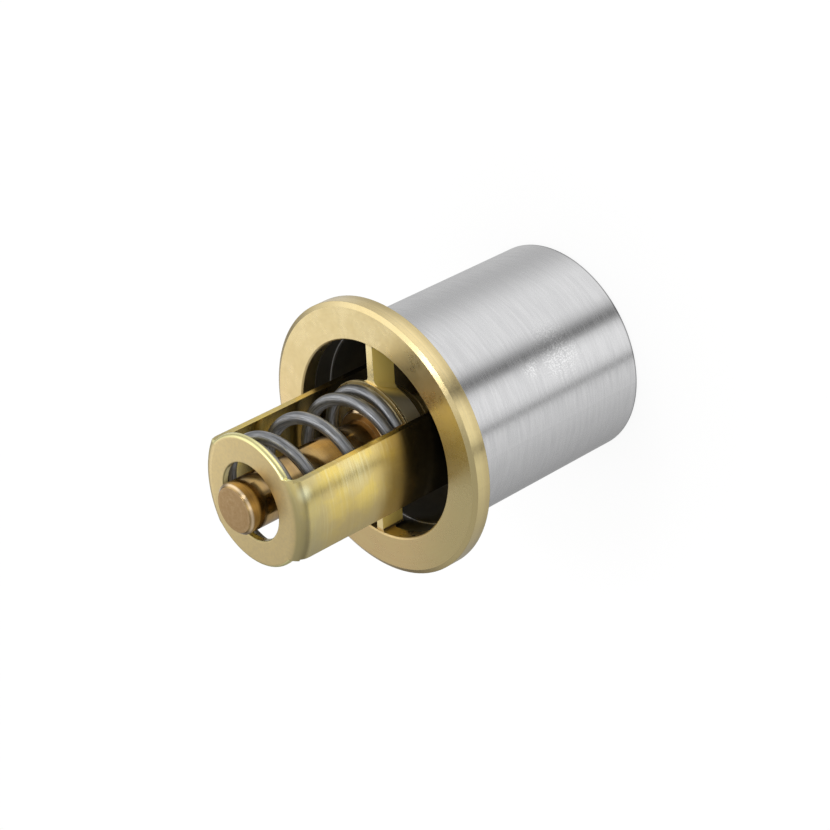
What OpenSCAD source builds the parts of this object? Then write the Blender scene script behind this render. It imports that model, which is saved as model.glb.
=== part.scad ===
// Sleeve-type coolant valve for an engine, worked by a wax element and closed by a return spring.
// Millimetres. The origin is the centre of the flange's back face.
// +Z runs along the axis towards the cage, and the cage's two legs lie on the X axis.
// The flange, wax cup and guide stay still. The sleeve, spider, cage and piston slide along -Z to open.

/* [Flange] */
// Outside diameter of the flange
flange_d = 70; // [64:0.5:80]
// Thickness of the flange ring
flange_t = 4.6; // [3.6:0.1:6.5]
// Diameter of the flow bore through the ring
bore_d = 51; // [46:0.2:51.4]
// Radial size of the chamfer on the front rim
rim_chamfer = 1.2; // [0.4:0.1:2]
// Axial size of the chamfer on the front rim
rim_chamfer_h = 0.7; // [0.3:0.1:1.4]
// Broken edge on the bore
edge_break = 0.35; // [0.1:0.05:0.6]
// Thickness of each of the two ribs that carry the hub
rib_t = 2.1; // [1.6:0.1:4]
// Distance of the ribs' front faces behind the ring's front face
rib_recess = 0.6; // [0.3:0.1:1.5]
// Fillet where a rib meets the ring
ring_fillet = 0.5; // [0.2:0.1:1.2]
// Fillet where a rib meets the hub
hub_fillet = 1.2; // [0.4:0.1:2]
// Depth of the hub along the axis
hub_h = 7.2; // [6:0.1:10]
// Amount by which the hub's radius narrows from front to back
hub_taper = 3.35; // [1:0.05:4]
// Width of the ledge left around the spring's seat on the hub
hub_lip = 0.5; // [0.3:0.1:1.2]
// Radial room between the hub and the sleeve's bore, for a leg, its foot and the rivets
foot_room = 9.95; // [9.6:0.05:11]
// Depth of the recess in the flange's back face, where the sleeve seats
seat_depth = 0.2; // [0.1:0.05:0.6]
// Radial gap between the recess and the sleeve
seat_gap = 0.3; // [0.2:0.05:0.6]

/* [Return spring] */
// Diameter of the spring wire
wire_d = 3.1; // [2.4:0.1:3.4]
// Height of the spring as installed
spring_h = 36.7; // [32:0.1:40]
// Turns over which the wire climbs from the hub to the end plate
climb_turns = 3.43; // [3.3:0.01:4.2]
// Turns that lie flat on the hub
hub_end_turns = 0.43; // [0.3:0.01:0.5]
// Turns that lie flat under the end plate
plate_end_turns = 0.29; // [0.1:0.01:0.6]
// Angle of the wire's end on the hub
wire_start = 38; // [0:1:360]
// Share of the wire's radius that is ground off each end
ground_share = 0.2; // [0:0.01:0.6]

/* [Cage] */
// Thickness of the cage's sheet
sheet_t = 1.5; // [1:0.1:2]
// Width of each leg
leg_w = 20.4; // [16:0.2:22]
// Outside radius of the legs' curved section
leg_curve_r = 24; // [21:0.5:40]
// Gap between the hub and the inside of a leg
leg_clear = 0.8; // [0.5:0.1:1.5]
// Outside radius of the bend from the end plate to a leg
bend_r = 3.6; // [2.4:0.1:3.9]
// Outside radius of the bend from a leg to its foot
foot_bend_r = 2.8; // [2.2:0.1:3.2]
// Distance of the end plate's round edge inside the legs' outer faces
plate_inset = 0.9; // [0.2:0.1:1.5]
// Radius of the rounding on the end plate's front edge
plate_edge = 1; // [0.3:0.1:1.2]
// Radius of the rounding on the front edge of the hole in the end plate
hole_edge = 0.3; // [0.1:0.1:0.5]
// Gap between the wax cup and the hole in the end plate
plate_hole_clear = 3.4; // [1:0.1:3.8]
// Distance by which the ears at the top of a bend stand out past a leg's sides
ear_w = 0.5; // [0.3:0.1:1.2]
// Radius of the small notches between the ears and the end plate's round edge
notch_r = 0.35; // [0.2:0.05:0.5]
// Gap between a foot's tip and the bore of the sleeve
foot_gap = 1.4; // [0.5:0.1:2]

/* [Wax element] */
// Diameter of the wax cup's slim end
cup_d = 12.8; // [11:0.1:13.4]
// Diameter of the wax cup's collar, which fills the hub
collar_d = 17.4; // [16.8:0.1:19]
// Height of the collar in front of the hub
collar_proud = 3; // [1:0.1:5]
// Distance of the cup's tip in front of the end plate
tip_proud = 5; // [2:0.1:10]
// Chamfer on the tip
tip_chamfer = 0.8; // [0.3:0.1:1.4]
// Chamfer on the collar
collar_chamfer = 0.6; // [0.2:0.1:1]
// Wall of the wax cup
cup_wall = 1.1; // [0.8:0.1:1.5]
// Diameter of the piston
piston_d = 5; // [4:0.1:6]
// Diameter of the guide's flange behind the hub
guide_flange_d = 22; // [20:0.5:26]
// Thickness of the guide's flange
guide_flange_t = 2.6; // [1.5:0.1:3.5]
// Diameter of the guide's stem
guide_stem_d = 11; // [9:0.2:13]
// Length of the guide's stem behind its flange
guide_stem_len = 13; // [10:0.5:14]
// Thickness of the diaphragm
diaphragm_t = 1.2; // [0.8:0.1:1.6]
// Length of the rubber plug behind the diaphragm
plug_len = 4; // [3:0.5:6]
// Thickness of the washer between the plug and the piston
washer_t = 0.8; // [0.5:0.1:1.2]

/* [Sleeve] */
// Outside diameter of the sleeve
sleeve_d = 54.8; // [54:0.2:60]
// Distance from the flange's back face to the sleeve's far end
sleeve_len = 59; // [56:1:90]
// Wall of the sleeve
sleeve_wall = 2.2; // [1.9:0.1:3]
// Wall of the seating lip at the flange end
lip_wall = 1.5; // [0.8:0.1:1.8]
// Depth of the seating lip
lip_depth = 5; // [2:0.5:8]
// Broken edge on the sleeve's ends
sleeve_edge = 0.4; // [0.1:0.1:0.6]

/* [Spider] */
// Distance from the flange's back face to the spider's front face
spider_depth = 33; // [31:0.5:36]
// Height of the spider's rim
rim_h = 6; // [4:0.5:8]
// Radial width of the spider's rim
rim_w = 1.4; // [1:0.1:1.6]
// Thickness of the spider's arms
arm_t = 2.6; // [2:0.1:4]
// Diameter of the spider's hub
spider_hub_d = 15; // [13:0.5:18]
// Height of the spider's hub
spider_hub_h = 7; // [5:0.5:9]
// Gap between a window of the spider and a leg's side
window_gap = 1.5; // [0.5:0.1:3]
// Width of the spider's arms beside its hub
waist_w = 18; // [15:0.5:22]
// Corner radius of the spider's windows
window_corner = 2; // [1:0.1:3]
// Diameter of the adjusting screw
screw_d = 8; // [7:0.5:9]
// Length of the adjusting screw
screw_len = 17; // [16:0.5:20]
// Distance of the screw's tip in front of the spider
screw_proud = 3.5; // [2:0.1:5]
// Depth of the seat in the screw's tip that holds the piston
screw_seat_h = 1.5; // [1:0.1:2]
// Width of the lock nut across its flats
nut_af = 13; // [12:0.5:16]
// Thickness of the lock nut
nut_t = 4; // [3:0.5:5]
// Diameter of the rivets' shanks
rivet_d = 2.4; // [1.6:0.1:2.6]
// Diameter of the rivets' heads
rivet_head_d = 3.8; // [3.2:0.1:4.2]
// Height of the rivets' heads
rivet_head_h = 1.4; // [1:0.1:2]
// Distance of the rivets from the middle of a leg
rivet_offset = 5.5; // [4:0.5:7]

/* [Fits] */
// Radial gap of a fit that doesn't move
fit_gap = 0.02; // [0.01:0.01:0.05]
// Radial gap of a fit that slides
slide_gap = 0.04; // [0.02:0.01:0.08]

/* [Hidden] */
$fn = 96;
eps = 0.01;
big = 200;
// Overlap that fuses the forms of one solid
lap = 0.3;
// Clearance that keeps the ribs' backs off the sleeve's lip, and the wire off itself
rib_gap = 0.1;
wire_gap = 0.05;
// Land between the rivets' heads and the spider's rim
rivet_land = 0.4;

flange_r = flange_d / 2;
bore_r = bore_d / 2;
wire_r = wire_d / 2;
sleeve_r = sleeve_d / 2;
sleeve_bore_r = sleeve_r - sleeve_wall;
lip_bore_r = sleeve_r - lip_wall;
hub_r = sleeve_bore_r - foot_room;
hub_back_r = hub_r - hub_taper;
hub_back_z = flange_t - hub_h;
rib_front_z = flange_t - rib_recess;
coil_r = hub_r - hub_lip - wire_r;

plate_in_z = flange_t + spring_h;
plate_out_z = plate_in_z + sheet_t;
leg_out_x = hub_r + leg_clear + sheet_t;
leg_axis_x = leg_out_x - leg_curve_r;
plate_r = leg_out_x - plate_inset;
plate_lap = 2;

cup_r = cup_d / 2;
collar_r = collar_d / 2;
collar_z = flange_t + collar_proud;
tip_z = plate_out_z + tip_proud;
plate_hole_r = cup_r + plate_hole_clear;
cavity_r = cup_r - cup_wall;
cavity_z = tip_z - cup_wall;
socket_r = collar_r - cup_wall;
socket_z = collar_z - 2 * cup_wall;
nose_r = socket_r - fit_gap;
nose_z = socket_z - diaphragm_t - 2 * fit_gap;
stem_end_z = hub_back_z - guide_flange_t - guide_stem_len;
piston_r = piston_d / 2;
guide_bore_r = piston_r + slide_gap;
plug_end_z = nose_z - plug_len;
washer_end_z = plug_end_z - washer_t - fit_gap;
piston_top_z = washer_end_z - fit_gap;

spider_z = -spider_depth;
spider_r = sleeve_bore_r - fit_gap;
spider_hub_r = spider_hub_d / 2;
window_r = spider_r - rim_w;
foot_r = sleeve_bore_r - foot_gap - leg_axis_x;
rivet_r = window_r - rivet_head_d / 2 - rivet_land;
rivet_x = sqrt(rivet_r * rivet_r - rivet_offset * rivet_offset);
screw_r = screw_d / 2;
screw_top_z = spider_z + screw_proud;
piston_end_z = screw_top_z - screw_seat_h;
nut_z = spider_z - spider_hub_h;

// The wire's height follows two parabolas with a straight climb between them.
// Their curvature lets the first turn just clear the wire's own end, a full turn below.
flat_deg = 360 * hub_end_turns;
climb_deg = 360 * climb_turns;
wire_deg = flat_deg + climb_deg + 360 * plate_end_turns;
seat_h = wire_r * (1 - ground_share);
climb_h = spring_h - 2 * seat_h;
curve_k = (wire_d + wire_gap) / pow(360 - flat_deg, 2);
slope = curve_k * (climb_deg - sqrt(climb_deg * climb_deg - 2 * climb_h / curve_k));
curve_deg = slope / (2 * curve_k);
wire_step = 12;
wire_sides = 14;

function climb(a) =
    a <= 0 ? 0 :
    a < curve_deg ? curve_k * a * a :
    a < climb_deg - curve_deg ? curve_k * curve_deg * curve_deg + slope * (a - curve_deg) :
    a < climb_deg ? climb_h - curve_k * pow(climb_deg - a, 2) :
    climb_h;

// Concave corner between two walls that meet at right angles, reaching a little into both
module inner_corner(r) {
    difference() {
        translate([-lap, -lap]) square(r + lap);
        translate([r, r]) circle(r = r);
    }
}

// One rib along +Y, seen along the axis, with its two fillets at the ring
module rib_outline() {
    root = hub_back_r - lap;
    translate([-rib_t / 2, root]) square([rib_t, bore_r + edge_break + lap - root]);
    for (flip = [0, 1]) mirror([flip, 0])
        translate([rib_t / 2, bore_r]) mirror([0, 1]) inner_corner(ring_fillet);
}

// The two fillets of one rib at the hub, which lean with the hub's cone
module hub_fillets() {
    depth = rib_front_z - hub_back_z;
    lean = atan(hub_taper / depth);
    intersection() {
        translate([-big / 2, 0, hub_back_z]) cube([big, big, depth]);
        for (flip = [0, 1]) mirror([flip, 0])
            translate([rib_t / 2, hub_back_r, hub_back_z]) rotate([-lean, 0, 0])
                translate([0, 0, -depth]) linear_extrude(3 * depth) inner_corner(hub_fillet);
    }
}

// Cast brass ring, tapered hub and two ribs in one piece
module flange_seat() {
    seat_r = sleeve_r + seat_gap;
    color([0.80, 0.70, 0.47]) difference() {
        union() {
            rotate_extrude() polygon([
                [bore_r + edge_break, seat_depth],
                [seat_r, seat_depth],
                [seat_r, 0],
                [flange_r, 0],
                [flange_r, flange_t - rim_chamfer_h],
                [flange_r - rim_chamfer, flange_t],
                [bore_r + edge_break, flange_t],
                [bore_r, flange_t - edge_break],
                [bore_r, seat_depth + edge_break]
            ]);
            rotate_extrude() polygon([
                [0, hub_back_z],
                [hub_back_r, hub_back_z],
                [hub_r, rib_front_z],
                [hub_r, flange_t],
                [0, flange_t]
            ]);
            for (turn = [0, 180]) rotate(turn) {
                translate([0, 0, seat_depth]) linear_extrude(rib_front_z - seat_depth) rib_outline();
                intersection() {
                    translate([0, 0, hub_back_z]) linear_extrude(rib_front_z - hub_back_z) rib_outline();
                    cylinder(r = bore_r - rib_gap, h = big, center = true);
                }
                hub_fillets();
            }
        }
        cylinder(r = collar_r + fit_gap, h = big, center = true);
    }
}

// Turned bronze cup with a slim closed end and a wide open collar
module wax_cup() {
    color([0.66, 0.48, 0.33]) difference() {
        rotate_extrude() polygon([
            [0, hub_back_z],
            [collar_r, hub_back_z],
            [collar_r, collar_z - collar_chamfer],
            [collar_r - collar_chamfer, collar_z],
            [cup_r, collar_z],
            [cup_r, tip_z - tip_chamfer],
            [cup_r - tip_chamfer, tip_z],
            [0, tip_z]
        ]);
        cylinder(r = cavity_r, h = cavity_z);
        translate([0, 0, hub_back_z - eps]) cylinder(r = socket_r, h = socket_z - hub_back_z + eps);
    }
}

module wax_charge() {
    color([0.85, 0.80, 0.62]) translate([0, 0, socket_z + fit_gap])
        cylinder(r = cavity_r - fit_gap, h = cavity_z - socket_z - 2 * fit_gap);
}

// Rubber disc that seals the wax, with a dimple over the plug
module diaphragm() {
    dimple_r = piston_r * 0.8;
    color([0.12, 0.12, 0.12]) rotate_extrude() polygon([
        [0, nose_z + fit_gap],
        [nose_r, nose_z + fit_gap],
        [nose_r, nose_z + fit_gap + diaphragm_t],
        [dimple_r + diaphragm_t / 2, nose_z + fit_gap + diaphragm_t],
        [dimple_r, nose_z + fit_gap + diaphragm_t * 0.6],
        [0, nose_z + fit_gap + diaphragm_t * 0.6]
    ]);
}

module rubber_plug() {
    color([0.2, 0.2, 0.2]) translate([0, 0, plug_end_z])
        cylinder(r = piston_r, h = plug_len);
}

module backup_washer() {
    color([0.92, 0.92, 0.9]) translate([0, 0, washer_end_z])
        cylinder(r = piston_r, h = washer_t);
}

// Turned brass guide: a nose inside the cup's collar, a flange behind the hub and a long stem
module guide() {
    flange_back_z = hub_back_z - guide_flange_t;
    stem_r = guide_stem_d / 2;
    color([0.78, 0.66, 0.38]) difference() {
        rotate_extrude() polygon([
            [0, stem_end_z],
            [stem_r - edge_break, stem_end_z],
            [stem_r, stem_end_z + edge_break],
            [stem_r, flange_back_z],
            [guide_flange_d / 2 - edge_break, flange_back_z],
            [guide_flange_d / 2, flange_back_z + edge_break],
            [guide_flange_d / 2, hub_back_z],
            [nose_r, hub_back_z],
            [nose_r, nose_z],
            [0, nose_z]
        ]);
        cylinder(r = guide_bore_r, h = big, center = true);
    }
}

// Round-wire spring with closed and ground ends, swept as one skin
module return_spring() {
    count = ceil(wire_deg / wire_step);
    rings = [for (i = [0:count]) i * wire_deg / count];
    points = [for (a = rings, j = [0:wire_sides - 1])
        let (s = 360 * j / wire_sides,
             r = coil_r + wire_r * cos(s),
             z = flange_t + seat_h + climb(a - flat_deg) + wire_r * sin(s))
        [r * cos(a + wire_start), r * sin(a + wire_start), max(flange_t, min(plate_in_z, z))]];
    skin = [for (i = [0:count - 1], j = [0:wire_sides - 1])
        let (a = i * wire_sides + j,
             b = i * wire_sides + (j + 1) % wire_sides)
        [a, b, b + wire_sides, a + wire_sides]];
    start_cap = [for (j = [wire_sides - 1:-1:0]) j];
    end_cap = [for (j = [0:wire_sides - 1]) count * wire_sides + j];
    color([0.42, 0.43, 0.45]) polyhedron(points, concat(skin, [start_cap, end_cap]), convexity = 10);
}

// Quarter of a bend in the sheet, about the bend's own centre
module bend_section(r) {
    intersection() {
        difference() {
            circle(r = r);
            circle(r = r - sheet_t);
        }
        square(r + 1);
    }
}

// Section of one leg, from the end plate's bend down to the foot, out from the leg's own axis
module leg_section() {
    out = leg_curve_r;
    in = out - sheet_t;
    foot_z = spider_z;
    translate([out - bend_r - plate_lap, plate_in_z]) square([plate_lap + eps, sheet_t]);
    translate([out - bend_r, plate_out_z - bend_r]) bend_section(bend_r);
    translate([in, foot_z + foot_bend_r]) square([sheet_t, plate_out_z - bend_r - foot_bend_r - foot_z]);
    translate([in + foot_bend_r, foot_z + foot_bend_r]) rotate(180) bend_section(foot_bend_r);
    translate([in + foot_bend_r - eps, foot_z]) square([foot_r - in - foot_bend_r + eps, sheet_t]);
}

// Section of the end plate's disc, with its front edges rounded
module plate_section() {
    difference() {
        translate([plate_hole_r, 0]) square([plate_r - plate_hole_r, sheet_t]);
        translate([plate_r, sheet_t]) rotate(180) inner_corner(plate_edge);
        translate([plate_hole_r, sheet_t]) rotate(-90) inner_corner(hole_edge);
    }
}

// What the disc loses, seen along the axis: the ends where the legs bend away, and a notch beside each ear
module plate_cuts() {
    ear_y = leg_w / 2 + ear_w;
    ear_x = sqrt(plate_r * plate_r - ear_y * ear_y);
    for (turn = [0, 180]) rotate(turn) {
        difference() {
            translate([0, lap - ear_y]) square([big, 2 * (ear_y - lap)]);
            translate([leg_axis_x, 0]) circle(r = leg_curve_r - bend_r - plate_lap / 2);
        }
        for (side = [-1, 1]) translate([ear_x, side * (ear_y + notch_r / 2)])
            circle(r = notch_r, $fn = 32);
    }
}

// Folded brass strap: a round end plate, two curved legs and two riveted feet
module cage() {
    half = leg_w / 2;
    color([0.80, 0.69, 0.38]) difference() {
        union() {
            translate([0, 0, plate_in_z]) difference() {
                rotate_extrude() plate_section();
                translate([0, 0, -eps]) linear_extrude(sheet_t + 2 * eps) plate_cuts();
            }
            for (turn = [0, 180]) rotate(turn) intersection() {
                translate([leg_axis_x, 0, 0]) rotate(-60)
                    rotate_extrude(angle = 120) leg_section();
                union() {
                    translate([0, -half, -big / 2]) cube([big, leg_w, big]);
                    translate([0, -half - ear_w, plate_in_z]) cube([big, leg_w + 2 * ear_w, big]);
                }
            }
        }
        for (turn = [0, 180], side = [-1, 1]) rotate(turn)
            translate([rivet_x, side * rivet_offset, spider_z - eps])
                cylinder(r = rivet_d / 2 + fit_gap, h = sheet_t + 2 * eps, $fn = 32);
    }
}

module piston() {
    color([0.75, 0.76, 0.78]) rotate_extrude() polygon([
        [0, piston_end_z],
        [piston_r - 0.4, piston_end_z],
        [piston_r, piston_end_z + 0.4],
        [piston_r, piston_top_z],
        [0, piston_top_z]
    ]);
}

// Stainless tube that slides on the water side, with a thinned lip where it seats on the flange
module sleeve() {
    color([0.72, 0.72, 0.74]) rotate_extrude() polygon([
        [sleeve_bore_r, -lip_depth],
        [lip_bore_r, -lip_depth],
        [lip_bore_r, seat_depth - sleeve_edge],
        [lip_bore_r + sleeve_edge, seat_depth],
        [sleeve_r - sleeve_edge, seat_depth],
        [sleeve_r, seat_depth - sleeve_edge],
        [sleeve_r, sleeve_edge - sleeve_len],
        [sleeve_r - sleeve_edge, -sleeve_len],
        [sleeve_bore_r + sleeve_edge, -sleeve_len],
        [sleeve_bore_r, sleeve_edge - sleeve_len]
    ]);
}

// One window of the spider: it widens from the hub's side to the rim, with round corners
module window_outline() {
    low = waist_w / 2;
    high = leg_w / 2 + window_gap;
    half = sqrt(window_r * window_r - high * high);
    offset(r = window_corner, $fn = 32) offset(delta = -window_corner) intersection() {
        circle(r = window_r);
        polygon([
            [-spider_hub_r / 2, low],
            [spider_hub_r / 2, low],
            [half - window_corner, high],
            [big, high],
            [big, big],
            [-big, big],
            [-big, high],
            [window_corner - half, high]
        ]);
    }
}

// Brass spider pressed into the sleeve: a rim, two wide arms for the feet and a threaded hub
module sleeve_spider() {
    color([0.74, 0.63, 0.38]) difference() {
        union() {
            difference() {
                translate([0, 0, spider_z - rim_h]) cylinder(r = spider_r, h = rim_h);
                translate([0, 0, spider_z - rim_h - eps]) cylinder(r = window_r, h = rim_h + 2 * eps);
            }
            difference() {
                translate([0, 0, spider_z - arm_t]) cylinder(r = window_r + eps, h = arm_t);
                for (turn = [0, 180]) rotate(turn) translate([0, 0, spider_z - arm_t - eps])
                    linear_extrude(arm_t + 2 * eps) window_outline();
            }
            translate([0, 0, spider_z - spider_hub_h]) cylinder(r = spider_hub_r, h = spider_hub_h);
        }
        cylinder(r = screw_r + fit_gap, h = big, center = true);
        for (turn = [0, 180], side = [-1, 1]) rotate(turn)
            translate([rivet_x, side * rivet_offset, spider_z - arm_t - eps])
                cylinder(r = rivet_d / 2 + fit_gap, h = arm_t + 2 * eps, $fn = 32);
    }
}

// Screw that sets the opening point: a seat for the piston in front, a driver slot behind
module adjusting_screw() {
    low_z = screw_top_z - screw_len;
    slot_w = 1.4;
    slot_h = 1.8;
    color([0.62, 0.62, 0.64]) difference() {
        rotate_extrude() polygon([
            [0, low_z],
            [screw_r - 0.6, low_z],
            [screw_r, low_z + 0.6],
            [screw_r, screw_top_z - 0.5],
            [screw_r - 0.5, screw_top_z],
            [0, screw_top_z]
        ]);
        translate([0, 0, piston_end_z]) cylinder(r = piston_r + slide_gap, h = screw_seat_h + eps);
        translate([-screw_d, -slot_w / 2, low_z - eps]) cube([2 * screw_d, slot_w, slot_h + eps]);
    }
}

// Hexagon nut with both faces chamfered, under the spider's hub
module lock_nut() {
    corner_r = nut_af / sqrt(3);
    bevel = corner_r - nut_af / 2;
    color([0.6, 0.6, 0.62]) difference() {
        intersection() {
            translate([0, 0, nut_z - nut_t]) cylinder(r = corner_r, h = nut_t, $fn = 6);
            rotate_extrude() polygon([
                [0, nut_z - nut_t],
                [nut_af / 2, nut_z - nut_t],
                [corner_r, nut_z - nut_t + bevel / 2],
                [corner_r, nut_z - bevel / 2],
                [nut_af / 2, nut_z],
                [0, nut_z]
            ]);
        }
        translate([0, 0, nut_z - nut_t - eps]) cylinder(r = screw_r + fit_gap, h = nut_t + 2 * eps);
    }
}

// Four rivets through the feet and the spider's arms, each with a domed head and a flat tail
module rivets() {
    shank_r = rivet_d / 2;
    head_r = rivet_head_d / 2;
    head_z = spider_z + sheet_t;
    tail_z = spider_z - arm_t;
    dome_r = (head_r * head_r + rivet_head_h * rivet_head_h) / (2 * rivet_head_h);
    color([0.78, 0.62, 0.40]) for (turn = [0, 180], side = [-1, 1]) rotate(turn)
        translate([rivet_x, side * rivet_offset, 0]) {
            translate([0, 0, tail_z - rivet_head_h / 2])
                cylinder(r = shank_r, h = head_z - tail_z + rivet_head_h / 2 + eps, $fn = 32);
            translate([0, 0, tail_z - rivet_head_h / 2])
                cylinder(r = head_r, h = rivet_head_h / 2, $fn = 32);
            intersection() {
                translate([0, 0, head_z + rivet_head_h - dome_r]) sphere(r = dome_r, $fn = 48);
                translate([0, 0, head_z]) cylinder(r = head_r + 1, h = rivet_head_h + 1);
            }
        }
}

flange_seat();
wax_cup();
wax_charge();
diaphragm();
rubber_plug();
backup_washer();
guide();
return_spring();
cage();
piston();
sleeve();
sleeve_spider();
adjusting_screw();
lock_nut();
rivets();
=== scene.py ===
import math

import bmesh
import bpy
from mathutils import Matrix, Vector


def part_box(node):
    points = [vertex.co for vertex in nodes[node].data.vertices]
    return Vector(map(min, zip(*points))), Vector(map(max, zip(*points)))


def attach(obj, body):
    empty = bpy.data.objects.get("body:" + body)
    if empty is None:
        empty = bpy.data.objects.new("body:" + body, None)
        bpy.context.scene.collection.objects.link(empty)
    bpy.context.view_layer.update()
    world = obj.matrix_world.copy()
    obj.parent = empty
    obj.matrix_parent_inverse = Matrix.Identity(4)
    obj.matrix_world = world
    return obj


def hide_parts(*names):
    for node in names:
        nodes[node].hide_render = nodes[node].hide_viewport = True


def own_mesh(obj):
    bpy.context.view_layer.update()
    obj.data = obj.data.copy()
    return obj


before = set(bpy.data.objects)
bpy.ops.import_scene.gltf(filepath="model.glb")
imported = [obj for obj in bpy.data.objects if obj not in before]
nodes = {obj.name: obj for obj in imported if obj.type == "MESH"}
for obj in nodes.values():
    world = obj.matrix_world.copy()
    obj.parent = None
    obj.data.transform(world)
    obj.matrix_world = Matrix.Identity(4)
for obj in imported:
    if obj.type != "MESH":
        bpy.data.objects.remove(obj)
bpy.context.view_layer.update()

MM = 0.001

# Numbers of the colour sockets on Blender's Mix node
MIX_FIRST, MIX_SECOND, MIX_RESULT = 6, 7, 2

# Sizes read from the CAD solids, in millimetres
SPRING_LOW, SPRING_HIGH = (corner.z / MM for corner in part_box("return_spring"))
FLANGE_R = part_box("flange_seat")[1].x / MM
SLEEVE_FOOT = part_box("sleeve")[0].z / MM
CUP_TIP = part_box("wax_cup")[1].z / MM

# Sizes of the CAD model that no box gives, in millimetres
BORE_R = 25.5
RIB_FRONT = 4.0
LIP_BORE_R = 25.9
LIP_STEP = -5.0
EAR_Y = 10.7
WIRE_R = 1.55
COIL_R = 13.2

# The spring's path in the CAD model: the wire lies flat on the hub, climbs, and lies flat again
# under the end plate. Its start is an angle in degrees, a share of its radius is ground off each
# end, and the gap in millimetres keeps it off itself.
HUB_END_TURNS = 0.43
CLIMB_TURNS = 3.43
PLATE_END_TURNS = 0.29
WIRE_START = 38
GROUND_SHARE = 0.2
WIRE_GAP = 0.05


# Materials

class Nodes:
    """Adds and links the nodes of one tree."""

    def __init__(self, tree):
        self.tree = tree

    def add(self, kind, **settings):
        made = self.tree.nodes.new(kind)
        for key, value in settings.items():
            setattr(made, key, value)
        return made

    def link(self, source, target):
        self.tree.links.new(source, target)

    def feed(self, socket, value):
        """Links an output to the socket, or sets a number or a colour on it."""
        if isinstance(value, bpy.types.NodeSocket):
            self.link(value, socket)
        elif isinstance(value, tuple):
            socket.default_value = (*value, 1.0)
        else:
            socket.default_value = value

    def split(self, vector):
        made = self.add("ShaderNodeSeparateXYZ")
        self.link(vector, made.inputs[0])
        return made.outputs

    def math(self, operation, *values):
        made = self.add("ShaderNodeMath", operation=operation)
        for socket, value in zip(made.inputs, values):
            self.feed(socket, value)
        return made.outputs[0]

    def times(self, first, second):
        return self.math("MULTIPLY", first, second)

    def plus(self, first, second):
        return self.math("ADD", first, second)

    def less(self, first, second):
        return self.math("SUBTRACT", first, second)

    def larger(self, first, second):
        return self.math("MAXIMUM", first, second)

    def above(self, value, limit):
        return self.math("GREATER_THAN", value, limit)

    def below(self, value, limit):
        return self.math("LESS_THAN", value, limit)

    def at(self, value, level, slack):
        return self.math("COMPARE", value, level, slack)

    def spread(self, value, low, high, to_low=0.0, to_high=1.0):
        """Turns the range low to high into the range to_low to to_high, with soft ends."""
        made = self.add("ShaderNodeMapRange", interpolation_type="SMOOTHSTEP")
        made.inputs["From Min"].default_value = low
        made.inputs["From Max"].default_value = high
        made.inputs["To Min"].default_value = to_low
        made.inputs["To Max"].default_value = to_high
        self.link(value, made.inputs["Value"])
        return made.outputs["Result"]

    def mix(self, factor, first, second):
        """Mixes two colours."""
        made = self.add("ShaderNodeMix", data_type="RGBA")
        self.feed(made.inputs["Factor"], factor)
        self.feed(made.inputs[MIX_FIRST], first)
        self.feed(made.inputs[MIX_SECOND], second)
        return made.outputs[MIX_RESULT]

    def blend(self, factor, first, second):
        """Mixes two shaders."""
        made = self.add("ShaderNodeMixShader")
        for socket, value in zip(made.inputs, (factor, first, second)):
            self.link(value, socket)
        return made.outputs[0]


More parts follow.
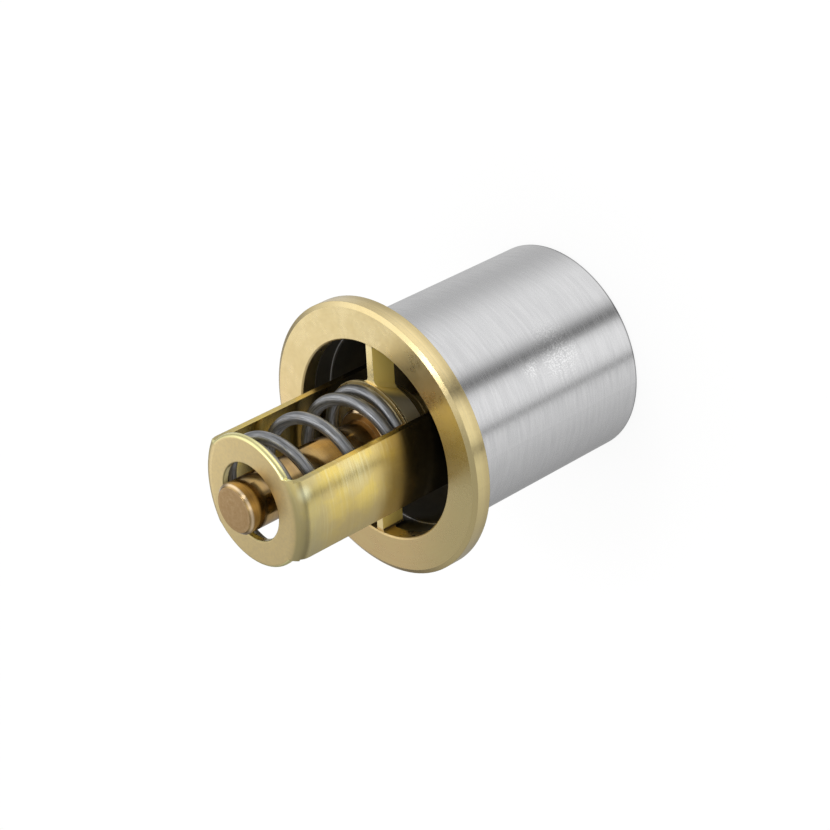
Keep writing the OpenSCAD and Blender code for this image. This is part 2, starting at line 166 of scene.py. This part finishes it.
class Shader(Nodes):
    """One material. Its coordinates are the object's own, in millimetres."""

    def __init__(self, name, metal=1.0):
        self.mat = bpy.data.materials.new(name)
        self.mat.use_nodes = True
        super().__init__(self.mat.node_tree)
        self.bsdf = self.tree.nodes["Principled BSDF"]
        self.bsdf.inputs["Metallic"].default_value = metal
        chart = self.add("ShaderNodeTexCoord")
        self.place = self.scaled(chart.outputs["Object"], 1 / MM, 1 / MM, 1 / MM)
        self.x, self.y, self.z = self.split(self.place)
        self.up = self.split(chart.outputs["Normal"])[2]
        self.normal = None

    def scaled(self, vector, x, y, z):
        made = self.add("ShaderNodeVectorMath", operation="MULTIPLY")
        self.link(vector, made.inputs[0])
        made.inputs[1].default_value = (x, y, z)
        return made.outputs[0]

    def noise(self, where, scale, detail=3.0, rough=0.5):
        made = self.add("ShaderNodeTexNoise")
        self.link(where, made.inputs["Vector"])
        made.inputs["Scale"].default_value = scale
        made.inputs["Detail"].default_value = detail
        made.inputs["Roughness"].default_value = rough
        return made.outputs["Fac"]

    def streaks(self, x, y, z, detail=3.0, rough=0.5):
        """Noise that is long where a number is small, and fine where it is large."""
        return self.noise(self.scaled(self.place, x, y, z), 1.0, detail, rough)

    def level(self, noise, to_low=0.0, to_high=1.0):
        """Spreads the middle of a noise, where most of its values lie."""
        return self.spread(noise, 0.3, 0.7, to_low, to_high)

    def radius(self):
        square = self.plus(self.times(self.x, self.x), self.times(self.y, self.y))
        return self.math("SQRT", square)

    def rings(self, scale):
        """Turned lines: noise that changes with radius and height, but not round the axis."""
        join = self.add("ShaderNodeCombineXYZ")
        self.link(self.radius(), join.inputs[0])
        self.link(self.z, join.inputs[1])
        return self.noise(join.outputs[0], scale, 2.0, 0.6)

    def near(self, place, reach):
        """1 at a place on the surface, falling to 0 at the given distance from it."""
        away = self.add("ShaderNodeVectorMath", operation="DISTANCE")
        self.link(self.place, away.inputs[0])
        away.inputs[1].default_value = place
        return self.spread(away.outputs["Value"], 0.0, reach, 1.0, 0.0)

    def color(self, value):
        self.link(value, self.bsdf.inputs["Base Color"])

    def rough(self, value):
        self.link(value, self.bsdf.inputs["Roughness"])

    def bump(self, height, depth_mm, strength):
        made = self.add("ShaderNodeBump")
        made.inputs["Strength"].default_value = strength
        made.inputs["Distance"].default_value = depth_mm * MM
        self.link(height, made.inputs["Height"])
        if self.normal:
            self.link(self.normal, made.inputs["Normal"])
        self.normal = made.outputs["Normal"]
        self.link(self.normal, self.bsdf.inputs["Normal"])

    def round_edges(self, radius_mm):
        """Catches the light along sharp edges. It comes before the bumps."""
        made = self.add("ShaderNodeBevel", samples=6)
        made.inputs["Radius"].default_value = radius_mm * MM
        self.normal = made.outputs["Normal"]
        self.link(self.normal, self.bsdf.inputs["Normal"])

    def brush(self, amount):
        """Brushed round the Z axis, so that highlights stretch along it."""
        quarter_turn = 0.25
        self.bsdf.inputs["Anisotropic"].default_value = amount
        self.bsdf.inputs["Anisotropic Rotation"].default_value = quarter_turn
        made = self.add("ShaderNodeTangent", direction_type="RADIAL", axis="Z")
        self.link(made.outputs[0], self.bsdf.inputs["Tangent"])


def brushed_tube():
    """Stainless tube: brushed round the outside, with scratches and a painted shadow line at its
    far edge.
    Inside it is dull and painted dark as shade, and plain steel again on the step behind its lip."""
    groove, ridge, haze = (0.645, 0.645, 0.65), (0.70, 0.70, 0.705), (0.63, 0.63, 0.64)
    bright, shadow = (0.92, 0.92, 0.92), (0.16, 0.16, 0.16)
    bore_shade_dark, bore_shade_pale = (0.10, 0.095, 0.08), (0.17, 0.16, 0.135)
    small_patch, large_patch = (22.6, 15.5, -26.5), (22.3, 15.9, -36.0)

    s = Shader("stainless_brushed")
    lines = s.streaks(0.15, 0.15, 7.0, 4.0, 0.6)
    broad = s.streaks(0.11, 0.11, 1.5)
    steel = s.mix(s.level(lines), groove, ridge)
    steel = s.mix(s.level(broad, 0.0, 0.4), steel, haze)

    scratch = s.streaks(1.4, 3.0, 2.2, 2.0)
    patches = s.larger(s.near(small_patch, 4.5), s.near(large_patch, 10.0))
    marks = s.times(s.spread(scratch, 0.52, 0.58), patches)
    places = s.spread(s.noise(s.place, 0.1, 1.0), 0.5, 0.6)
    rare = s.times(s.spread(scratch, 0.68, 0.74), places)
    steel = s.mix(s.larger(marks, s.times(rare, 0.3)), steel, bright)
    edge = s.spread(s.z, SLEEVE_FOOT + 0.45, SLEEVE_FOOT + 0.9, 0.85, 0.0)
    steel = s.mix(edge, steel, shadow)

    # Dark inside the bore: painted shade.
    dull = s.mix(s.noise(s.place, 0.25, 4.0), bore_shade_dark, bore_shade_pale)
    inside = s.below(s.radius(), LIP_BORE_R + 0.2)
    step = s.times(s.at(s.z, LIP_STEP, 0.08), s.above(s.radius(), LIP_BORE_R - 0.3))
    s.color(s.mix(s.larger(s.less(1.0, inside), step), dull, steel))
    grain = s.plus(s.spread(lines, 0.25, 0.75, 0.19, 0.24), s.level(broad, 0.0, 0.08))
    s.rough(s.plus(grain, s.times(inside, 0.25)))
    s.bump(broad, 0.01, 0.5)
    s.brush(0.8)
    return s.mat


def cast_brass():
    """Turned and slightly stained brass of the flange, with a painted sheen towards +Y, painted
    light on the rib fronts, and painted shade towards +X and along the back of the rim. The cast
    walls inside its bore are duller: yellow at the ribs with painted bounce light, and dark on the
    hub's flanks with painted shade."""
    warm, pale, stain_and_shade = (0.86, 0.62, 0.30), (0.87, 0.71, 0.38), (0.83, 0.65, 0.30)
    pit, ridge, side_shade = (0.68, 0.53, 0.28), (0.92, 0.80, 0.50), (0.58, 0.50, 0.24)
    rim_shade, rim_ridge = (0.50, 0.40, 0.20), (0.60, 0.50, 0.27)
    rib_front_light, rib_bounce_light, hub_flank_shade = (1.0, 0.83, 0.40), (1.0, 0.76, 0.20), (0.13, 0.10, 0.03)

    s = Shader("brass_satin")
    blotch = s.noise(s.place, 0.14, 4.0, 0.6)
    fine = s.noise(s.place, 0.8, 3.0, 0.5)
    turned = s.rings(2.2)
    # Paler towards +Y: a painted sheen where the light falls on that side.
    brass = s.mix(s.spread(s.y, -30, 30), warm, pale)
    brass = s.mix(s.spread(blotch, 0.32, 0.68, 0.0, 0.5), brass, stain_and_shade)
    brass = s.mix(s.spread(fine, 0.4, 0.8, 0.0, 0.15), brass, pit)
    brass = s.mix(s.level(turned, 0.0, 0.15), brass, ridge)
    # Darker and more olive towards +X: painted shade.
    sideways = s.less(s.x, s.times(s.y, 0.3))
    brass = s.mix(s.spread(sideways, 14.0, 34.0, 0.0, 0.65), brass, side_shade)

    rim = s.above(s.radius(), FLANGE_R - 0.05)
    # Darker along the back of the rim: painted shade.
    brass = s.mix(s.times(rim, s.spread(s.z, 0.6, 2.4, 0.55, 0.0)), brass, rim_shade)
    brass = s.mix(s.times(rim, s.spread(turned, 0.5, 0.7, 0.0, 0.4)), brass, rim_ridge)

    within = s.below(s.radius(), BORE_R - 0.6)
    # Paler on the ribs' front faces: painted light.
    front = s.times(s.times(within, s.at(s.z, RIB_FRONT, 0.04)), 0.6)
    brass = s.mix(front, brass, rib_front_light)
    wall = s.times(within, s.below(s.z, RIB_FRONT - 0.05))
    aside = s.math("ABSOLUTE", s.x)
    cast = s.times(wall, s.spread(aside, 3.0, 7.5, 1.0, 0.85))
    # Inside the bore: painted bounce light makes the rib walls bright yellow, and painted shade
    # makes the hub's flanks dark.
    wall_light_and_shade = s.mix(s.spread(aside, 3.0, 6.5), rib_bounce_light, hub_flank_shade)
    s.color(s.mix(cast, brass, wall_light_and_shade))
    dull = s.larger(s.times(cast, 0.75), s.times(front, 0.9))
    s.link(s.less(1.0, dull), s.bsdf.inputs["Metallic"])

    face = s.plus(s.level(blotch, 0.25, 0.33), s.level(fine, -0.02, 0.04))
    chamfer = s.above(s.radius(), FLANGE_R - 1.2)
    face = s.less(face, s.times(chamfer, 0.08))
    s.rough(s.larger(face, s.times(cast, 0.55)))
    s.round_edges(0.16)
    s.bump(turned, 0.003, 0.4)
    s.bump(fine, 0.006, 0.3)
    return s.mat


def sheet_brass():
    """Rolled sheet of the cage: fine lines across the legs, cloudy stains and scuffs. Painted shade
    darkens it towards -Y, towards the flange, inside the bore and along the bends, and painted
    highlights brighten a leg, a bend's corner and the plate's edge."""
    gold, olive = (0.88, 0.68, 0.19), (0.78, 0.61, 0.23)
    line_pale, line_dark = (0.99, 0.88, 0.46), (0.50, 0.39, 0.15)
    leg_highlight, scuffed = (1.0, 0.92, 0.52), (0.66, 0.54, 0.27)
    plate_pale, plate_dark = (0.84, 0.66, 0.32), (0.76, 0.60, 0.31)
    stain_and_shade, shade, foot_shade = (0.47, 0.37, 0.17), (0.25, 0.21, 0.13), (0.07, 0.06, 0.045)
    bend_shade, corner, plate_edge_highlight = (0.46, 0.42, 0.24), (1.0, 0.98, 0.62), (1.0, 0.93, 0.46)
    leg_highlight_place, glint_place = (16.6, 6.5, 25.0), (16.9, 7.5, 39.8)

    s = Shader("brass_rolled")
    lines = s.streaks(0.3, 0.06, 1.8, 5.0, 0.65)
    cloud = s.noise(s.place, 0.2, 3.0)
    scuff = s.noise(s.scaled(s.place, 1.0, 1.0, 0.15), 1.4, 3.0)
    grain = s.noise(s.place, 1.2, 4.0, 0.6)
    leg = s.mix(s.spread(cloud, 0.4, 0.6), gold, olive)
    leg = s.mix(s.spread(lines, 0.48, 0.75, 0.0, 0.55), leg, line_pale)
    leg = s.mix(s.spread(lines, 0.25, 0.45, 0.4, 0.0), leg, line_dark)
    # A paler patch on the leg: a painted highlight.
    leg_highlighting = s.times(s.near(leg_highlight_place, 7.0), s.spread(lines, 0.35, 0.6, 0.25, 0.7))
    leg = s.mix(leg_highlighting, leg, leg_highlight)
    leg = s.mix(s.spread(scuff, 0.58, 0.8, 0.0, 0.3), leg, scuffed)

    # Darker towards -Y, broken up by noise: painted shade across the leg.
    drift = s.plus(s.y, s.times(s.noise(s.place, 0.12, 2.0), 14.0))
    leg = s.mix(s.spread(drift, 0.0, 13.0, 0.65, 0.0), leg, stain_and_shade)
    leg = s.mix(s.spread(s.z, 7.0, 20.0, 0.85, 0.0), leg, shade)
    # Nearly black low down, inside the bore: painted shade.
    leg = s.mix(s.spread(s.z, -2.0, 3.0, 0.75, 0.0), leg, foot_shade)
    # Olive and darker towards the bend: painted shade.
    leg = s.mix(s.spread(s.z, 31.0, 39.0, 0.0, 0.55), leg, bend_shade)
    # Painted highlight at the corner of the bend.
    leg = s.mix(s.times(s.near(glint_place, 2.8), 0.9), leg, corner)
    # Pale along the plate's edges beside the legs: a painted highlight.
    rim = s.above(s.math("ABSOLUTE", s.y), EAR_Y - 0.05)
    leg = s.mix(s.times(rim, s.spread(s.z, 41.0, 41.6)), leg, plate_edge_highlight)

    plate = s.mix(s.spread(grain, 0.3, 0.75), plate_pale, plate_dark)
    s.color(s.mix(s.spread(s.up, 0.85, 0.99), leg, plate))
    s.rough(s.plus(s.level(lines, 0.2, 0.26), s.spread(s.up, 0.05, 0.5, 0.0, 0.12)))
    s.round_edges(0.25)
    s.bump(lines, 0.0015, 0.5)
    s.bump(grain, 0.003, 0.3)
    return s.mat


def turned_brass():
    """Plain turned brass of the guide, the spider and the rivets."""
    pale, dark, ridge = (0.80, 0.63, 0.29), (0.68, 0.53, 0.26), (0.88, 0.74, 0.42)

    s = Shader("brass_turned")
    turned = s.rings(4.0)
    cloud = s.noise(s.place, 0.4, 3.0)
    brass = s.mix(s.level(cloud), pale, dark)
    s.color(s.mix(s.spread(turned, 0.35, 0.75, 0.0, 0.3), brass, ridge))
    s.rough(s.level(turned, 0.24, 0.36))
    s.round_edges(0.15)
    s.bump(turned, 0.005, 0.6)
    return s.mat


def bronze():
    """Wax cup: golden-brown turned bronze, with a pinker mottled tip, and a painted highlight on
    the tip's chamfer and the collar's rim.
    """
    gold, brown, ridge = (0.52, 0.34, 0.12), (0.38, 0.25, 0.11), (0.74, 0.55, 0.32)
    tip_dark, tip_pale, edge_glint = (0.49, 0.30, 0.125), (0.58, 0.39, 0.19), (0.98, 0.76, 0.50)

    s = Shader("bronze_turned")
    turned = s.rings(3.0)
    mottle = s.noise(s.place, 0.9, 5.0, 0.65)
    cloud = s.noise(s.place, 0.25, 2.0)
    body = s.mix(s.level(cloud), gold, brown)
    tip = s.mix(s.spread(mottle, 0.35, 0.75), tip_dark, tip_pale)
    end = s.spread(s.up, 0.8, 0.98)
    body = s.mix(end, body, tip)
    # Painted highlight on the tip's chamfer and the collar's rim.
    tip_edge = s.times(s.spread(s.radius(), 5.7, 6.1), s.spread(s.z, CUP_TIP - 0.9, CUP_TIP - 0.5))
    glint_edges = s.larger(tip_edge, s.spread(s.radius(), 7.7, 8.5))
    body = s.mix(s.times(glint_edges, 0.8), body, edge_glint)
    s.color(s.mix(s.spread(turned, 0.35, 0.8, 0.0, 0.25), body, ridge))
    s.rough(s.plus(s.level(turned, 0.14, 0.2), s.times(end, 0.16)))
    s.round_edges(0.2)
    s.bump(turned, 0.003, 0.5)
    s.bump(s.times(mottle, end), 0.006, 0.4)
    return s.mat


def drawn_wire():
    """Spring steel with drawn streaks along the wire, which are read from the sweep's own map."""
    dark, pale, brown = (0.17, 0.175, 0.18), (0.48, 0.49, 0.51), (0.30, 0.26, 0.20)

    s = Shader("steel_spring")
    chart = s.add("ShaderNodeUVMap", uv_map="along").outputs[0]
    streak = s.noise(s.scaled(chart, 0.2, 3.2, 1.0), 1.0, 4.0, 0.65)
    patch = s.noise(s.place, 0.35, 3.0)
    steel = s.mix(s.level(streak), dark, pale)
    s.color(s.mix(s.spread(patch, 0.5, 0.8, 0.0, 0.4), steel, brown))
    s.rough(s.level(streak, 0.5, 0.38))
    s.bump(streak, 0.015, 0.5)
    return s.mat


def machined_steel():
    """Ground steel of the piston, the screw and its nut."""
    pale, dark, ridge = (0.60, 0.59, 0.57), (0.50, 0.49, 0.48), (0.74, 0.73, 0.71)

    s = Shader("steel_ground")
    turned = s.rings(5.0)
    cloud = s.noise(s.place, 0.5, 3.0)
    steel = s.mix(s.level(cloud), pale, dark)
    s.color(s.mix(s.level(turned, 0.0, 0.3), steel, ridge))
    s.rough(s.level(turned, 0.2, 0.34))
    s.round_edges(0.15)
    s.bump(turned, 0.004, 0.5)
    return s.mat


def soft_part(name, first, second, rough, grain):
    """Rubber, wax or plastic of a part inside the cup."""
    s = Shader(name, metal=0.0)
    speck = s.noise(s.place, grain, 4.0, 0.6)
    s.color(s.mix(s.level(speck), first, second))
    s.rough(s.level(speck, rough - 0.08, rough + 0.08))
    s.bump(speck, 0.03, 0.4)
    return s.mat


wire_steel = drawn_wire()
wax = soft_part("wax_pale", (0.72, 0.62, 0.38), (0.62, 0.5, 0.28), 0.5, 0.8)
plastic = soft_part("plastic_white", (0.8, 0.8, 0.78), (0.7, 0.7, 0.68), 0.4, 1.5)
rubber = soft_part("rubber_black", (0.012, 0.012, 0.012), (0.03, 0.03, 0.028), 0.6, 2.0)

for finish, names in (
    (cast_brass(), ["flange_seat"]),
    (sheet_brass(), ["cage"]),
    (bronze(), ["wax_cup"]),
    (brushed_tube(), ["sleeve"]),
    (wire_steel, ["return_spring"]),
    (turned_brass(), ["guide", "sleeve_spider", "rivets"]),
    (machined_steel(), ["piston", "adjusting_screw", "lock_nut"]),
    (wax, ["wax_charge"]),
    (plastic, ["backup_washer"]),
    (rubber, ["diaphragm", "rubber_plug"]),
):
    for name in names:
        slots = nodes[name].data.materials
        if not slots:
            slots.append(finish)
        for i in range(len(slots)):
            slots[i] = finish


# Return spring

def spring_mesh():
    """The CAD spring's own path, swept finely as round wire with ends ground flat."""
    flat = 360 * HUB_END_TURNS
    climb = 360 * CLIMB_TURNS
    total = flat + climb + 360 * PLATE_END_TURNS
    seat = WIRE_R * (1 - GROUND_SHARE)
    rise = SPRING_HIGH - SPRING_LOW - 2 * seat
    bend = (2 * WIRE_R + WIRE_GAP) / (360 - flat) ** 2
    slope = bend * (climb - math.sqrt(climb * climb - 2 * rise / bend))
    ease = slope / (2 * bend)

    def height(a):
        a = min(max(a, 0.0), climb)
        if a < ease:
            return bend * a * a
        if a < climb - ease:
            return bend * ease * ease + slope * (a - ease)
        return rise - bend * (climb - a) ** 2

    steps, sides = 560, 28
    bm = bmesh.new()
    chart = bm.loops.layers.uv.new("along")
    rows = []
    for i in range(steps + 1):
        a = total * i / steps
        turn = math.radians(a + WIRE_START)
        across = Vector((math.cos(turn), math.sin(turn), 0))
        centre = across * COIL_R + Vector((0, 0, SPRING_LOW + seat + height(a - flat)))
        row = []
        for j in range(sides):
            t = 2 * math.pi * j / sides
            p = centre + across * (WIRE_R * math.cos(t)) + Vector((0, 0, WIRE_R * math.sin(t)))
            p.z = min(max(p.z, SPRING_LOW), SPRING_HIGH)
            row.append(bm.verts.new(p * MM))
        rows.append(row)
    along = math.radians(total) * COIL_R
    around = 2 * math.pi * WIRE_R
    for i in range(steps):
        for j in range(sides):
            k = (j + 1) % sides
            face = bm.faces.new((rows[i][j], rows[i][k], rows[i + 1][k], rows[i + 1][j]))
            face.smooth = True
            corners = ((i, j), (i, j + 1), (i + 1, j + 1), (i + 1, j))
            for loop, (u, v) in zip(face.loops, corners):
                loop[chart].uv = (along * u / steps, around * v / sides)
    bm.faces.new(list(reversed(rows[0])))
    bm.faces.new(rows[-1])
    bmesh.ops.recalc_face_normals(bm, faces=bm.faces)
    sharp = math.radians(30)
    for edge in bm.edges:
        if edge.is_manifold and edge.calc_face_angle() > sharp:
            edge.smooth = False
    mesh = bpy.data.meshes.new("spring_wire")
    bm.to_mesh(mesh)
    bm.free()
    return mesh


spring = bpy.data.objects.new("spring_wire", spring_mesh())
bpy.context.scene.collection.objects.link(spring)
spring.data.materials.append(wire_steel)
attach(spring, "seat")
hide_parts("return_spring")
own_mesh(spring)


# Floor, light and camera

FLOOR_HALF = 3.0
FLOOR_GLOW = 1.02
FLOOR_WHITE_SHARE = 0.85

# Brightness of the studio round the part, by compass angle in degrees: white panels with dark
# gaps. Upright walls reflect the low ring, and faces turned upwards reflect the high ring.
RING_POWER = 1.2
LOW_RING = (
    (-180, 0.70), (-150, 0.58), (-120, 0.38), (-107, 0.40), (-90, 0.50), (-57, 0.65),
    (-37, 0.80), (-20, 0.90), (-12, 0.85), (-7, 0.12), (-2, 0.90), (7, 1.10), (24, 1.12),
    (32, 0.96), (38, 0.38), (43, 0.18), (48, 0.38), (56, 0.84), (64, 1.08), (102, 1.08),
    (113, 0.96), (123, 0.82), (133, 0.70), (145, 0.63), (180, 0.70),
)
HIGH_RING = (
    (-180, 0.80), (-160, 0.58), (-143, 0.50), (-120, 0.50), (-80, 0.48), (-40, 0.45),
    (-12, 0.60), (9, 1.10), (25, 0.80), (60, 0.40), (95, 0.60), (130, 1.18), (160, 1.18),
    (180, 0.80),
)


def floor():
    """Pale floor that shows white to the camera and keeps a faint shadow."""
    mesh = bpy.data.meshes.new("floor")
    half, low = FLOOR_HALF, SLEEVE_FOOT * MM
    corners = [(-half, -half, low), (half, -half, low), (half, half, low), (-half, half, low)]
    mesh.from_pydata(corners, [], [(0, 1, 2, 3)])
    obj = bpy.data.objects.new("floor", mesh)
    bpy.context.scene.collection.objects.link(obj)
    mat = bpy.data.materials.new("floor_pale")
    mat.use_nodes = True
    mat.node_tree.nodes.clear()
    net = Nodes(mat.node_tree)
    plain = net.add("ShaderNodeBsdfDiffuse")
    plain.inputs["Color"].default_value = (0.9, 0.9, 0.9, 1)
    glow = net.add("ShaderNodeEmission")
    glow.inputs["Strength"].default_value = FLOOR_GLOW
    paths = net.add("ShaderNodeLightPath").outputs
    seen = net.larger(paths["Is Camera Ray"], paths["Is Glossy Ray"])
    seen = net.larger(seen, paths["Is Transmission Ray"])
    share = net.times(seen, FLOOR_WHITE_SHARE)
    surface = net.blend(share, plain.outputs[0], glow.outputs[0])
    net.link(surface, net.add("ShaderNodeOutputMaterial").inputs["Surface"])
    mesh.materials.append(mat)
    obj.visible_glossy = False


def ring(net, turn, stops):
    """Brightness by compass angle, where turn goes from 0 to 1 round the part."""
    made = net.add("ShaderNodeValToRGB")
    ramp = made.color_ramp
    ramp.interpolation = "EASE"
    places = [((angle + 180) / 360, level / RING_POWER) for angle, level in stops]
    for element, (position, level) in zip(ramp.elements, (places[0], places[-1])):
        element.position = position
        element.color = (level, level, level, 1)
    for position, level in places[1:-1]:
        ramp.elements.new(position).color = (level, level, level, 1)
    net.link(turn, made.inputs[0])
    return made.outputs[0]


def studio():
    """White surroundings, in which metal reflects the two rings. They dim towards the horizon."""
    world = bpy.data.worlds.new("studio")
    bpy.context.scene.world = world
    world.use_nodes = True
    world.node_tree.nodes.clear()
    net = Nodes(world.node_tree)
    east, north, up = net.split(net.add("ShaderNodeTexCoord").outputs["Generated"])
    turn = net.plus(net.math("DIVIDE", net.math("ARCTAN2", north, east), 2 * math.pi), 0.5)
    height = net.spread(up, -0.1, 0.35)
    panels = net.mix(height, ring(net, turn, LOW_RING), ring(net, turn, HIGH_RING))
    dimming = net.spread(net.math("ABSOLUTE", up), 0.0, 0.42, 0.4, 1.0)
    room = net.add("ShaderNodeBackground")
    net.link(panels, room.inputs["Color"])
    net.link(net.times(dimming, RING_POWER), room.inputs["Strength"])
    white = net.add("ShaderNodeBackground")
    white.inputs["Color"].default_value = (1, 1, 1, 1)

    paths = net.add("ShaderNodeLightPath").outputs
    mirrored = net.blend(paths["Is Glossy Ray"], white.outputs[0], room.outputs[0])
    clear = net.larger(paths["Is Camera Ray"], paths["Is Transmission Ray"])
    surface = net.blend(clear, mirrored, white.outputs[0])
    net.link(surface, net.add("ShaderNodeOutputWorld").inputs["Surface"])


def soft_lamp(name, place, size, level):
    """Round panel that faces the part. A level of 1 looks as bright as white paper."""
    data = bpy.data.lights.new(name, "AREA")
    data.shape = "DISK"
    data.size = size
    data.energy = level * math.pi * math.pi * (size / 2) ** 2
    obj = bpy.data.objects.new(name, data)
    bpy.context.scene.collection.objects.link(obj)
    obj.location = place
    obj.rotation_mode = "QUATERNION"
    obj.rotation_quaternion = (-Vector(place)).to_track_quat("-Z", "Y")
    obj.visible_camera = False


def photo_camera():
    """Camera at the photograph's viewing angle."""
    data = bpy.data.cameras.new("photo_view")
    data.sensor_width = 36
    data.lens = 108.43
    data.clip_start = 0.01
    data.clip_end = 50
    obj = bpy.data.objects.new("photo_view", data)
    bpy.context.scene.collection.objects.link(obj)
    place = (0.39259, 0.29587, 0.34261)
    right = (0.68669, -0.04844, -0.72533)
    up = (-0.32582, 0.87143, -0.36666)
    back = (0.64984, 0.48811, 0.58263)
    turned = Matrix((right, up, back)).transposed().to_4x4()
    obj.matrix_world = Matrix.Translation(place) @ turned
    bpy.context.scene.camera = obj


floor()
studio()
soft_lamp("overhead", (0.01, 0.325, 0.73), 0.24, 6.0)
soft_lamp("side_panel", (-0.14, -0.05, 0.095), 0.1, 0.45)
photo_camera()
bpy.context.scene.view_settings.view_transform = "Standard"
